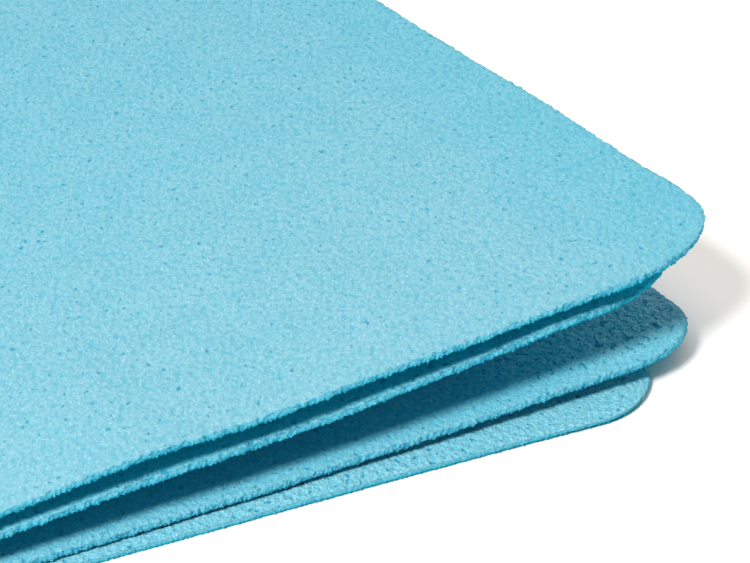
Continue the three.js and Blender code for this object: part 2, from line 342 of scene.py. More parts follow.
@dataclass(frozen=True)
class Leaf:
    """A quarter of the cloth, between its open corner and its two creases."""

    name: str
    corner: np.ndarray
    round: np.ndarray
    side_end: float
    back_end: np.ndarray
    fold_level: float
    rest_level: float
    rise: float
    reach: float
    quarter: np.ndarray
    side_arc: float
    seed: int
    front_bow: float = 0
    ripples: tuple = ()
    front_waves: tuple = ()
    right_waves: tuple = ()
    beads: float = 1
    bead_drop: float = BEAD_DROP
    front_undercut: float = 0
    right_undercut: float = 0
    undercut_reach: float = CORNER_UNDERCUT_REACH
    upper_shade_inset: np.ndarray = None
    lower_shade_inset: np.ndarray = None
    right_shade_reach: np.ndarray = None
    right_edge_shade: float = 0
    back_shade: float = 0
    corner_pits: float = 0

    @property
    def length(self):
        return self.corner[0] - SIDE_FOLD_X

    @property
    def depth(self):
        return self.back_end[1] - self.corner[1]

    def is_inside(self, side):
        """Whether the upper face, side 1, or the lower, side -1, is the inside of the folded cloth."""
        return side * self.quarter.prod() > 0


BOTTOM_LEAF = Leaf(
    name="bottom_leaf",
    corner=BOTTOM_CORNER,
    round=BOTTOM_ROUND,
    side_end=OUTER_SIDE_FOLD_BACK,
    back_end=LOWER_BACK_END,
    fold_level=FLOOR_LEVEL,
    rest_level=FLOOR_LEVEL,
    rise=0,
    reach=LOWER_INNER_REACH,
    quarter=np.array((1, 1)),
    side_arc=OUTER_ARC,
    seed=11,
    front_bow=BOTTOM_FRONT_BOW,
    front_waves=BOTTOM_FRONT_WAVES,
    beads=0.35,
    bead_drop=0,
    front_undercut=FLOOR_UNDERCUT,
    right_undercut=CORNER_UNDERCUT,
    undercut_reach=FLOOR_UNDERCUT_REACH,
    upper_shade_inset=BOTTOM_SHADE_INSET,
)
LOWER_INNER_LEAF = Leaf(
    name="lower_inner_leaf",
    corner=LOWER_INNER_CORNER,
    round=LOWER_INNER_ROUND,
    side_end=INNER_SIDE_FOLD_BACK,
    back_end=LOWER_BACK_END,
    fold_level=FLOOR_LEVEL + FOLD_PITCH,
    rest_level=FLOOR_LEVEL + LOWER_LEAF_PITCH,
    rise=LOWER_INNER_RISE,
    reach=LOWER_INNER_REACH,
    quarter=np.array((1, -1)),
    side_arc=INNER_ARC,
    seed=21,
    upper_shade_inset=LOWER_INNER_SHADE_INSET,
    lower_shade_inset=UNDERSIDE_SHADE_INSET,
    right_shade_reach=RIGHT_SHADE_REACH,
    right_edge_shade=LOWER_INNER_RIGHT_SHADE,
    corner_pits=1,
)
UPPER_INNER_LEAF = Leaf(
    name="upper_inner_leaf",
    corner=UPPER_INNER_CORNER,
    round=UPPER_INNER_ROUND,
    side_end=INNER_SIDE_FOLD_BACK,
    back_end=UPPER_BACK_END,
    fold_level=BEND_LEVEL + INNER_BEND,
    rest_level=UPPER_PAIR_LEVEL,
    rise=UPPER_INNER_RISE,
    reach=UPPER_INNER_REACH,
    quarter=np.array((-1, -1)),
    side_arc=INNER_ARC,
    seed=31,
    front_bow=UPPER_INNER_FRONT_BOW,
    ripples=UPPER_INNER_RIPPLES,
    upper_shade_inset=UPPER_INNER_SHADE_INSET,
    lower_shade_inset=UNDERSIDE_SHADE_INSET,
)
TOP_LEAF = Leaf(
    name="top_leaf",
    corner=TOP_CORNER,
    round=TOP_ROUND,
    side_end=OUTER_SIDE_FOLD_BACK,
    back_end=UPPER_BACK_END,
    fold_level=BEND_LEVEL + OUTER_BEND,
    rest_level=UPPER_PAIR_LEVEL + UPPER_LEAF_PITCH,
    rise=TOP_RISE,
    reach=TOP_REACH,
    quarter=np.array((-1, 1)),
    side_arc=OUTER_ARC,
    seed=41,
    front_bow=TOP_FRONT_BOW,
    ripples=TOP_RIPPLES,
    right_waves=TOP_RIGHT_WAVES,
    right_undercut=CORNER_UNDERCUT,
    lower_shade_inset=UNDERSIDE_SHADE_INSET,
    right_edge_shade=TOP_RIGHT_SHADE,
    back_shade=BACK_SHADE,
)
LEAVES = (BOTTOM_LEAF, LOWER_INNER_LEAF, UPPER_INNER_LEAF, TOP_LEAF)


# Shapes of the cloth


def lerp(start, end, share):
    return start + (end - start) * share


def eased(value, start, end):
    """A share from 0 at start to 1 at end, with no sudden change."""
    share = np.clip((value - start) / (end - start), 0, 1)
    return share * share * (3 - 2 * share)


def arched(share):
    """From 0 at both ends of a share to 1 in its middle."""
    return 4 * share * (1 - share)


def unit(vectors):
    return vectors / np.linalg.norm(vectors, axis=-1, keepdims=True)


def soft_noise(u, v, cell, seed):
    """Smooth random heights from -1 to 1, a cell apart."""
    lattice = np.random.default_rng(seed).uniform(-1, 1, (NOISE_CELLS, NOISE_CELLS))
    column = np.floor(u / cell).astype(int)
    row = np.floor(v / cell).astype(int)
    right = eased(u / cell - column, 0, 1)
    up = eased(v / cell - row, 0, 1)

    def at(i, j):
        return lattice[i % NOISE_CELLS, j % NOISE_CELLS]

    near = lerp(at(column, row), at(column + 1, row), right)
    far = lerp(at(column, row + 1), at(column + 1, row + 1), right)
    return lerp(near, far, up)


def swells(waves, along, inward):
    """Swells along an edge that die away inward. Each wave has a place, a half width and a height."""
    total = 0
    for place, half_width, height in waves:
        total = total + height * np.exp(-(((along - place) / half_width) ** 2))
    return total * np.exp(-inward / SWELL_DEPTH)


def slope(from_right, reach):
    """A rise that begins gently at reach and is straight beyond it."""
    return RISE_BEND * np.log1p(np.exp((reach - from_right) / RISE_BEND))


def leaf_height(leaf, from_side, from_back):
    settled = (1 - np.exp(-from_side / SETTLE_DISTANCE)) * (1 - np.exp(-from_back / SETTLE_DISTANCE))
    level = lerp(leaf.fold_level, leaf.rest_level, settled)
    from_right = leaf.length - from_side
    from_front = leaf.depth - from_back
    risen = leaf.rise * slope(from_right, leaf.reach) / slope(0, leaf.reach)
    rippled = swells(leaf.ripples, from_right, from_front)
    return level + risen * (1 - from_front / RISE_DEPTH) + rippled


def leaf_flat(leaf, from_side, from_back):
    """Place on the flat cloth, from the middle of the cloth."""
    u = leaf.quarter[0] * (from_side + leaf.side_arc / 2)
    v = leaf.quarter[1] * (from_back + BACK_ARC / 2)
    return np.column_stack((u, v))


def from_cut(leaf, from_side, from_back):
    """Distance to the cut edge, about."""
    straight = np.minimum(leaf.length - from_side, leaf.depth - from_back)
    beyond_side = (from_side - leaf.length + leaf.round[0]) / leaf.round[0]
    beyond_back = (from_back - leaf.depth + leaf.round[1]) / leaf.round[1]
    bend = (1 - np.hypot(beyond_side, beyond_back)) * leaf.round.mean()
    return np.where((beyond_side > 0) & (beyond_back > 0), bend, straight)


def leaf_middle(leaf, from_side, from_back):
    """Points on the middle of a leaf, and the way up from it."""
    across = (from_side / leaf.length)[:, None]
    back = lerp(FOLD_CROSSING, leaf.back_end, across)
    front = lerp(np.array((SIDE_FOLD_X, leaf.side_end)), leaf.corner, across)
    front[:, 1] += leaf.front_bow * arched(across[:, 0])
    place = lerp(back, front, (from_back / leaf.depth)[:, None])
    from_right = leaf.length - from_side
    from_front = leaf.depth - from_back
    place[:, 0] += swells(leaf.right_waves, from_front, from_right)
    place[:, 1] -= swells(leaf.front_waves, from_right, from_front)

    height = leaf_height(leaf, from_side, from_back)
    beyond = leaf_height(leaf, from_side + SLOPE_STEP, from_back)
    ahead = leaf_height(leaf, from_side, from_back + SLOPE_STEP)
    beside = np.minimum(from_side / CALM_DISTANCE, 1)
    behind = np.minimum(from_back / CALM_DISTANCE, 1)
    up = unit(
        np.column_stack(
            (
                -(beyond - height) / SLOPE_STEP * beside,
                (ahead - height) / SLOPE_STEP * behind,
                np.ones_like(height),
            )
        )
    )

    flat = leaf_flat(leaf, from_side, from_back)
    wave = WAVE_HEIGHT * soft_noise(*flat.T, WAVE_CELL, leaf.seed) * beside * behind
    return np.column_stack((place, height)) + up * wave[:, None], up


def cut_line(leaf):
    """The cut edge of a leaf, from its side crease round the corner to its back crease, and the way out."""
    straight_front = leaf.length - leaf.round[0]
    straight_right = leaf.depth - leaf.round[1]
    front = np.linspace(0, straight_front, round(straight_front / EDGE_STEP), endpoint=False)
    turn_steps = round(leaf.round.mean() * math.pi / 2 / EDGE_STEP)
    turn = np.linspace(0, math.pi / 2, turn_steps, endpoint=False)
    right = np.linspace(straight_right, 0, round(straight_right / EDGE_STEP) + 1)
    line = np.concatenate(
        (
            np.column_stack((front, np.full_like(front, leaf.depth))),
            np.column_stack(
                (
                    straight_front + leaf.round[0] * np.sin(turn),
                    straight_right + leaf.round[1] * np.cos(turn),
                )
            ),
            np.column_stack((np.full_like(right, leaf.length), right)),
        )
    )
    outward = np.concatenate(
        (
            np.tile((0.0, 1.0), (len(front), 1)),
            unit(np.column_stack((np.sin(turn) / leaf.round[0], np.cos(turn) / leaf.round[1]))),
            np.tile((1.0, 0.0), (len(right), 1)),
        )
    )
    return line, outward


def seam_steps():
    """Shares along a crease, from the crossing to its open end, closer together near that end."""
    span = (CLOTH_LENGTH + CLOTH_WIDTH) / 4
    near_end = [distance for distance, _ in reversed(EDGE_ROWS)]
    clear = span - near_end[0] - SEAM_STEP / 2
    steps = np.linspace(0, clear, round(clear / SEAM_STEP) + 1)
    return np.concatenate((steps, span - np.array(near_end), (span,))) / span


def bend_turns():
    """Shares round a bend, closer together in its middle, where it opens."""
    shares = np.linspace(-1, 1, BEND_STEPS + 1)
    return 0.5 + 0.5 * np.sign(shares) * np.abs(shares) ** BEND_GRADING


SEAM = seam_steps()
FROM_OPEN_END = 1 - SEAM[::-1]
TURNS = bend_turns()
MIRRORED = np.array((-1, 1))


# Meshes of the cloth


@dataclass
class Face:
    """One face of a patch of cloth: points, polygons, places on the flat cloth and the loop round it.

    Painted shade is how deep the colour of a point is painted for the shade between the leaves, pitted how
    many pits it has.
    """

    points: np.ndarray
    polygons: np.ndarray
    flat: np.ndarray
    loop: np.ndarray
    painted_shade: np.ndarray
    pitted: np.ndarray


@dataclass
class Rim:
    """Columns of points round a cut edge, from one face to the other, and where they start in the loop.

    Bare is how much of a point is cut cloth, crevice shade how much painted shade it takes, deepest between
    the bulges.
    """

    points: np.ndarray
    flat: np.ndarray
    bare: np.ndarray
    crevice_shade: np.ndarray
    start: int


def bead_heights(run, seed):
    """Rounded beads along a cut edge, from 0 between two of them to 1 at the top of the largest."""
    shift = BEAD_SHIFT * soft_noise(run, 0 * run, BEAD_SHIFT_CELL, seed + BEAD_SHIFT_SEED)
    spread = BEAD_SIZE_SPREAD * soft_noise(run, 0 * run, BEAD_LENGTH, seed + BEAD_SIZE_SEED)
    return (BEAD_SIZE + spread) * np.abs(np.sin(math.pi * (run / BEAD_LENGTH + shift)))


def rim_rows(edge, up, outward, flat, flat_outward, run, seed, beads, bead_drop, undercut, fray):
    """The cut edge of a patch. It is even on both sides near the creases, where run is small."""
    ease = np.minimum(run / EDGE_EASE, 1)[:, None]
    calm = np.minimum(run / CALM_DISTANCE, 1)[:, None]
    even_stand = (RIM_STAND + RIM_STAND[::-1]) / 2
    wander = (WANDER * soft_noise(*flat.T, WANDER_CELL, seed) + beads * fray)[:, None]
    bead = bead_heights(run, seed)[:, None]
    across = np.broadcast_to(RIM_SHARE * THICKNESS, (len(run), len(RIM_SHARE)))
    along = np.broadcast_to(run[:, None], across.shape)
    bulges = BULGE * soft_noise(along, across, BULGE_CELL, seed + BULGE_SEED)
    bulges += BULGE / 2 * soft_noise(along, across, BULGE_CELL / 2, seed + FINE_BULGE_SEED)
    uneven = beads * (bulges + BEAD_STAND * (bead - 0.5) * RIM_SHARE)
    stand = lerp(even_stand, RIM_STAND + wander + uneven, ease) - undercut[:, None] * RIM_LOW
    drop = bead_drop * ease * bead * RIM_LOW + EDGE_SINK * calm * RIM_HIGH
    high = THICKNESS * (0.5 - RIM_SHARE) - drop
    points = edge[:, None] + up[:, None] * high[..., None] + outward[:, None] * stand[..., None]
    places = flat[:, None] + flat_outward[:, None] * (RIM_SHARE * THICKNESS)[:, None]
    bare = beads * ease * RIM_BARE
    # Painted shade, deepest between the bulges and low on the rim
    crevice_shade = beads * ease * np.clip(RIM_CREVICE_SHADE - bulges / BULGE, 0, 1)
    return points, places, bare, crevice_shade


def spread_points(leaf, step, seed):
    """Points over a leaf, closer together near its cut edge, and how many of the first go round it."""
    line, outward = cut_line(leaf)
    side = np.column_stack((np.zeros(len(SEAM)), SEAM * leaf.depth))
    back = np.column_stack((SEAM * leaf.length, np.zeros(len(SEAM))))
    loop = np.concatenate((side[:-1], line, back[-2:0:-1]))

    rows = []
    for distance, columns in EDGE_ROWS:
        row = (line - outward * distance)[::columns]
        clear = ROW_CLEARANCE * columns * EDGE_STEP
        rows.append(row[(row > clear).all(axis=1)])

    across = np.arange(int(leaf.length / step) + 1)
    deep = np.arange(int(leaf.depth / (step * GRID_PITCH)) + 1)
    column, line_back = (grid.ravel() for grid in np.meshgrid(across, deep))
    grid = np.column_stack(((column + 0.5 * (line_back % 2)) * step, line_back * step * GRID_PITCH))
    grid += np.random.default_rng(seed).uniform(-GRID_JITTER, GRID_JITTER, grid.shape) * step
    clear = GRID_CLEARANCE * step
    inside = from_cut(leaf, *grid.T) > EDGE_ROWS[-1][0] + clear
    grid = grid[inside & (grid > clear).all(axis=1)]
    return np.concatenate((loop, *rows, grid)), len(loop)


def joined(points, loop_length):
    """Triangles between points inside the loop that their first ones form, seen from above."""
    plane = [Vector((side, -back)) for side, back in points]
    ring = [(i, (i + 1) % loop_length) for i in range(loop_length)]
    found, _, triangles, sources, _, _ = delaunay_2d_cdt(plane, ring, [], KEEP_INSIDE, MERGE_DISTANCE)
    assert len(found) == len(points)
    first = np.array([source[0] for source in sources])
    return first[np.array(triangles)]


def painted_shade_shares(leaf, side, places, inset):
    """How deep the painted shade is: where another leaf lies over or under the face, and towards its edges.
    """
    from_right = leaf.length - places[:, 0]
    from_front = leaf.depth - places[:, 1]
    shade_inset = leaf.upper_shade_inset if side > 0 else leaf.lower_shade_inset
    if shade_inset is None:
        # Painted shade, deepening towards the back of the leaf
        painted_shade = leaf.back_shade * eased(from_front, *BACK_SHADE_REACH)
    else:
        painted_shade = eased(inset, *shade_inset)
    if side < 0:
        return painted_shade
    if leaf.right_shade_reach is not None:
        painted_shade = painted_shade * eased(from_right, *leaf.right_shade_reach)
    # Painted shade along the right edge
    return np.maximum(painted_shade, leaf.right_edge_shade * (1 - eased(from_right, *RIGHT_SHADE_EDGE_REACH)))


def pitted_shares(leaf, side, places, inset):
    """How pitted a face is: some on the inside of the cloth, most at the lower inner leaf's corner."""
    even = INSIDE_PITS if leaf.is_inside(side) else OUTSIDE_PITS * leaf.corner_pits
    pitted = np.full(len(places), even)
    if side < 0:
        return pitted
    from_right = leaf.length - places[:, 0]
    corner = (1 - eased(from_right, *CORNER_PIT_REACH)) * eased(inset, *CORNER_PIT_INSET)
    return np.maximum(pitted, leaf.corner_pits * corner)


def leaf_face(leaf, step, side, seed):
    """The upper face of a leaf where side is 1, and the lower where it is -1."""
    places, loop_length = spread_points(leaf, step, seed)
    middle, up = leaf_middle(leaf, *places.T)
    flat = leaf_flat(leaf, *places.T)
    calm = np.minimum(places.min(axis=1) / CALM_DISTANCE, 1)
    lump = LUMP_HEIGHT * soft_noise(*flat.T, LUMP_CELL, seed) * calm
    inset = from_cut(leaf, *places.T)
    sink = EDGE_SINK * np.clip(1 - inset / EDGE_SINK_WIDTH, 0, 1) ** 2
    points = middle + up * (side * (THICKNESS / 2 + lump - sink * calm))[:, None]
    triangles = joined(places, loop_length)
    if side < 0:
        triangles = triangles[:, ::-1]
    if leaf.is_inside(side):
        flat = flat * MIRRORED
    painted_shade = painted_shade_shares(leaf, side, places, inset)
    pitted = pitted_shares(leaf, side, places, inset)
    return Face(points, triangles, flat, np.arange(loop_length), painted_shade, pitted)


def edge_fray(leaf, from_right, from_front, flat):
    """How far the cut edge frays out: finely along the front, more along the right."""
    on_front, on_right = (
        eased(distance, FRAY_STARTS * corner_round, FRAY_FULL * corner_round)
        for distance, corner_round in zip((from_right, from_front), leaf.round)
    )
    front = soft_noise(*flat.T, FRONT_FRAY_CELL, leaf.seed + FRONT_FRAY_SEED)
    right = soft_noise(*flat.T, RIGHT_FRAY_CELL, leaf.seed + RIGHT_FRAY_SEED)
    return lerp(CORNER_FRAY, FRONT_FRAY, on_front) * front + RIGHT_FRAY * on_right * right


def leaf_rim(leaf):
    line, outward = cut_line(leaf)
    middle, up = leaf_middle(leaf, *line.T)
    tangent = unit(np.gradient(middle, axis=0))
    run = np.cumsum(np.linalg.norm(np.diff(line, axis=0, prepend=line[:1]), axis=1))
    flat = leaf_flat(leaf, *line.T)
    from_right = leaf.length - line[:, 0]
    from_front = leaf.depth - line[:, 1]
    along_front = eased(from_right, 0, leaf.undercut_reach)
    rows = rim_rows(
        edge=middle,
        up=up,
        outward=unit(np.cross(tangent, up)),
        flat=flat,
        flat_outward=outward * leaf.quarter,
        run=np.minimum(run, run[-1] - run),
        seed=leaf.seed + RIM_SEED,
        beads=leaf.beads,
        bead_drop=leaf.bead_drop,
        undercut=lerp(leaf.right_undercut, leaf.front_undercut, along_front),
        fray=edge_fray(leaf, from_right, from_front, flat),
    )
    return Rim(*rows, len(SEAM) - 1)


def added(name, data):
    """A new object in the scene."""
    made = bpy.data.objects.new(name, data)
    bpy.context.scene.collection.objects.link(made)
    return made


def mark_points(mesh, name, values):
    mesh.attributes.new(name, "FLOAT", "POINT").data.foreach_set("value", values)


def piece_mesh(name, upper, lower, rim):
    """The closed mesh of a patch: two faces, its cut rim, and caps where it meets the next piece."""
    columns, rows = rim.points.shape[:2] if rim else (0, 2)
    upper_count = len(upper.points)
    inner_start = upper_count + len(lower.points)
    around = len(upper.loop)

    def rim_vertex(place, row):
        if row == 0:
            return upper.loop[place]
        if row == rows - 1:
            return upper_count + lower.loop[place]
        return inner_start + (place - rim.start) * (rows - 2) + row - 1

    def column(place):
        is_cut = rim and rim.start <= place < rim.start + columns
        steps = range(rows) if is_cut else (0, rows - 1)
        return [rim_vertex(place, row) for row in steps]

    points = np.concatenate((upper.points, lower.points))
    if rim:
        cut = slice(rim.start, rim.start + columns)
        points[upper.loop[cut]] = rim.points[:, 0]
        points[upper_count + lower.loop[cut]] = rim.points[:, -1]
        points = np.concatenate((points, rim.points[:, 1:-1].reshape(-1, 3)))
    points[:, 2] = np.maximum(points[:, 2], 0)

    polygons = [*upper.polygons.tolist(), *(lower.polygons + upper_count).tolist()]
    flats = [
        upper.flat[upper.polygons].reshape(-1, 2),
        lower.flat[lower.polygons].reshape(-1, 2),
    ]
    caps = []
    for place in range(around):
        following = (place + 1) % around
        here, there = column(place), column(following)
        if len(here) == len(there) == rows and rim:
            now = place - rim.start
            for row in range(rows - 1):
                polygons.append((there[row], here[row], here[row + 1], there[row + 1]))
                flats.append(rim.flat[(now + 1, now, now, now + 1), (row, row, row + 1, row + 1)])
        else:
            caps.append((*here, *reversed(there)))
    polygons += caps
    flats.append(np.zeros((sum(len(cap) for cap in caps), 2)))

    mesh = bpy.data.meshes.new(name)
    mesh.from_pydata((points + np.array(OPEN_CORNER)).tolist(), [], polygons)
    is_cap = np.zeros(len(polygons), dtype=bool)
    is_cap[len(polygons) - len(caps) :] = True
    mesh.attributes.new("sharp_face", "BOOLEAN", "FACE").data.foreach_set("value", is_cap)
    uv = mesh.uv_layers.new(name="flat_cloth")
    uv.uv.foreach_set("vector", np.concatenate(flats).astype(np.float32).ravel())
    for mark in ("bare", "crevice_shade"):
        values = np.zeros(len(points), dtype=np.float32)
        if rim:
            shares = getattr(rim, mark)
            values[upper.loop[cut]] = shares[:, 0]
            values[upper_count + lower.loop[cut]] = shares[:, -1]
            values[inner_start:] = shares[:, 1:-1].ravel()
        mark_points(mesh, mark, values)
    for mark in ("painted_shade", "pitted"):
        values = np.zeros(len(points), dtype=np.float32)
        values[:upper_count] = getattr(upper, mark)
        values[upper_count:inner_start] = getattr(lower, mark)
        mark_points(mesh, mark, values)
    mesh.update()
    mesh.validate()
    return added(name, mesh)


def leaf_piece(leaf):
    upper = leaf_face(leaf, UPPER_FACE_STEP, 1, leaf.seed + UPPER_FACE_SEED)
    lower = leaf_face(leaf, LOWER_FACE_STEP, -1, leaf.seed + LOWER_FACE_SEED)
    return piece_mesh(f"{leaf.name}_cloth", upper, lower, leaf_rim(leaf))


def crease_piece(name, point_at, flat_at, painted_shade_at, shares, seed, open_end):
    """A crease between two leaves: the turns go round its bend, shares along it from its open end."""
    turn, share = (grid.ravel() for grid in np.meshgrid(TURNS, shares, indexing="ij"))
    middle = point_at(turn, share)
    round_it = point_at(turn + CREASE_STEP, share) - point_at(turn - CREASE_STEP, share)
    along_it = point_at(turn, share + CREASE_STEP) - point_at(turn, share - CREASE_STEP)
    out = unit(np.cross(round_it, along_it))
    flat = flat_at(turn, share)
    lump = soft_noise(*flat.T, CREASE_LUMP_CELL, seed) * np.sin(math.pi * turn) * CREASE_LUMP_HEIGHT
    middle = middle + out * lump[:, None]

    across, along = len(TURNS), len(shares)
    index = np.arange(across * along).reshape(across, along)
    loop = np.concatenate((index[:, 0], index[-1, 1:], index[-2::-1, -1], index[0, -2:0:-1]))
    quads = np.stack(
        (index[:-1, :-1], index[1:, :-1], index[1:, 1:], index[:-1, 1:]),
        axis=-1,
    ).reshape(-1, 4)
    even = np.zeros(len(flat))
    upper = Face(middle + out * THICKNESS / 2, quads, flat, loop, painted_shade_at(turn, share), even)
    # The lower face of a crease takes the full painted shade
    lower = Face(middle - out * THICKNESS / 2, quads[:, ::-1], flat, loop, even + 1, even)
    if not open_end:
        return piece_mesh(name, upper, lower, None)
    first = index[:, 0]
    rows = rim_rows(
        edge=middle[first],
        up=out[first],
        outward=-unit(along_it[first]),
        flat=flat[first],
        flat_outward=unit(flat[first] - flat[index[:, 1]]),
        run=np.zeros(across),
        seed=seed,
        beads=0,
        bead_drop=0,
        undercut=np.zeros(across),
        fray=np.zeros(across),
    )
    return piece_mesh(name, upper, lower, Rim(*rows, 0))


def bend_point(bend, turn, y):
    """Points on the side crease of one layer, a share of the way round from the lower pair to the upper."""
    angle = math.pi * turn
    x = SIDE_FOLD_X - bend * np.sin(angle)
    return np.column_stack((x, y, BEND_LEVEL - bend * np.cos(angle)))


def side_fold(name, lower_leaf, upper_leaf, bend, seed):
    def point_at(turn, share):
        return bend_point(bend, turn, lerp(lower_leaf.side_end, BACK_FOLD_LEFT_Y, share))

    def flat_at(turn, share):
        depth = lerp(lower_leaf.depth, upper_leaf.depth, turn)
        u = lerp(lower_leaf.quarter[0], upper_leaf.quarter[0], turn) * lower_leaf.side_arc / 2
        v = lower_leaf.quarter[1] * ((1 - share) * depth + BACK_ARC / 2)
        return np.column_stack((u, v))

    def painted_shade_at(turn, share):
        return np.full(len(turn), upper_leaf.upper_shade_inset is not None)

    return crease_piece(name, point_at, flat_at, painted_shade_at, FROM_OPEN_END, seed, True)


def back_fold(name, upper_leaf, lower_leaf, seed):
    def point_at(turn, share):
        across = 1 - share
        line = lerp(FOLD_CROSSING, lower_leaf.back_end, across[:, None])
        high = leaf_height(upper_leaf, across * upper_leaf.length, 0)
        low = leaf_height(lower_leaf, across * lower_leaf.length, 0)
        bend = (high - low) / 2
        angle = math.pi * turn
        y = line[:, 1] + bend * np.sin(angle)
        return np.column_stack((line[:, 0], y, (high + low) / 2 + bend * np.cos(angle)))

    def flat_at(turn, share):
        length = lerp(upper_leaf.length, lower_leaf.length, turn)
        arc = lerp(upper_leaf.side_arc, lower_leaf.side_arc, turn)
        u = lower_leaf.quarter[0] * ((1 - share) * length + arc / 2)
        v = lerp(upper_leaf.quarter[1], lower_leaf.quarter[1], turn) * BACK_ARC / 2
        return np.column_stack((u, v))

    def painted_shade_at(turn, share):
        return eased(turn if upper_leaf.upper_shade_inset is None else 1 - turn, *CREASE_SHADE_SHARES)

    return crease_piece(name, point_at, flat_at, painted_shade_at, FROM_OPEN_END, seed, True)


def centre_fold(name, seed):
    """The doubled bend where the creases cross."""

    def point_at(turn, share):
        inward = FOLD_PITCH / 2 * (1 - np.cos(math.pi * share))
        y = BACK_FOLD_LEFT_Y + FOLD_PITCH / 2 * np.sin(math.pi * share)
        return bend_point(OUTER_BEND - inward, turn, y)

    def flat_at(turn, share):
        u = (0.5 - turn) * lerp(OUTER_ARC, INNER_ARC, share)
        v = (0.5 - share) * BACK_ARC
        return np.column_stack((u, v))

    def painted_shade_at(turn, share):
        return eased(share, *CREASE_SHADE_SHARES)

    return crease_piece(name, point_at, flat_at, painted_shade_at, 1 - TURNS[::-1], seed, False)


# Finishes

# Sockets of a mix node that are for its factor and its colours
MIX_FACTOR = 0
MIX_FIRST = 6
MIX_SECOND = 7
MIX_RESULT = 2


def node(tree, kind, inputs=None, **settings):
    """A node with its settings, and its inputs by name or number: values, or sockets to link."""
    made = tree.nodes.new(kind)
    for setting, value in settings.items():
        setattr(made, setting, value)
    for key, value in (inputs or {}).items():
        if isinstance(value, bpy.types.NodeSocket):
            tree.links.new(value, made.inputs[key])
        else:
            made.inputs[key].default_value = value
    return made


def mixed(tree, factor, first, second, blend="MIX"):
    """A colour between two, by factor, or the first blended with the second."""
    inputs = {MIX_FACTOR: factor, MIX_FIRST: first, MIX_SECOND: second}
    return node(tree, "ShaderNodeMix", inputs, data_type="RGBA", blend_type=blend).outputs[MIX_RESULT]


def ranged(tree, value, low, high, to_low=0.0, to_high=1.0):
    """Value eased from low and high to to_low and to_high."""
    made = node(
        tree,
        "ShaderNodeMapRange",
        {"Value": value, "From Min": low, "From Max": high, "To Min": to_low, "To Max": to_high},
        interpolation_type="SMOOTHSTEP",
    )
    return made.outputs["Result"]


def worked_out(tree, operation, first, second):
    return node(tree, "ShaderNodeMath", {0: first, 1: second}, operation=operation).outputs[0]


def product(tree, first, second):
    return worked_out(tree, "MULTIPLY", first, second)


def sum_of(tree, *terms):
    """The sum of values, each times its weight."""
    total = None
    for value, weight in terms:
        part = product(tree, value, weight)
        total = part if total is None else worked_out(tree, "ADD", total, part)
    return total


def new_material(name):
    """A material, its nodes and its shader."""
    material = bpy.data.materials.new(name)
    material.use_nodes = True
    tree = material.node_tree
    return material, tree, tree.nodes["Principled BSDF"]


